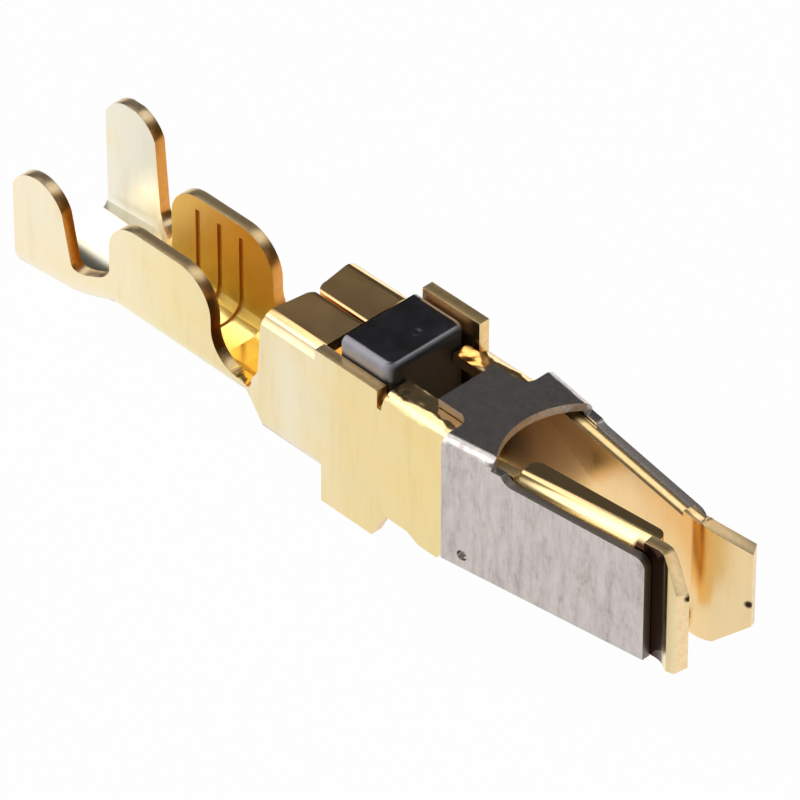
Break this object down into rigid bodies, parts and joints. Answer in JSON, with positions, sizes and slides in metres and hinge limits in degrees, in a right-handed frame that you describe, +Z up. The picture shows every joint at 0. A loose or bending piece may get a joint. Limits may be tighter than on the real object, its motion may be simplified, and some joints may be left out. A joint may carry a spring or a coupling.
{
  "type": "crimp socket contact",
  "caption": "Folded crimp contact with wire barrel, box section, spring hood and two converging beams that grip a flat blade.",
  "frame": {"origin": "middle of the footprint, level with the tips of the keying tabs", "axes": "+X along the contact from the wire end to the mating end, +Y from the near side to the guard side, +Z up towards the latch"},
  "size_m": [0.0232, 0.0038, 0.0053],
  "materials": {
    "plated_strip": "gold plated, polished",
    "spring_steel": "rolled steel, faintly scratched",
    "dark_latch": "near black, satin"
  },
  "bodies": {
    "root": {"contact_body": "plated_strip", "spring_hood": "spring_steel", "latch": "dark_latch"}
  },
  "joints": []
}
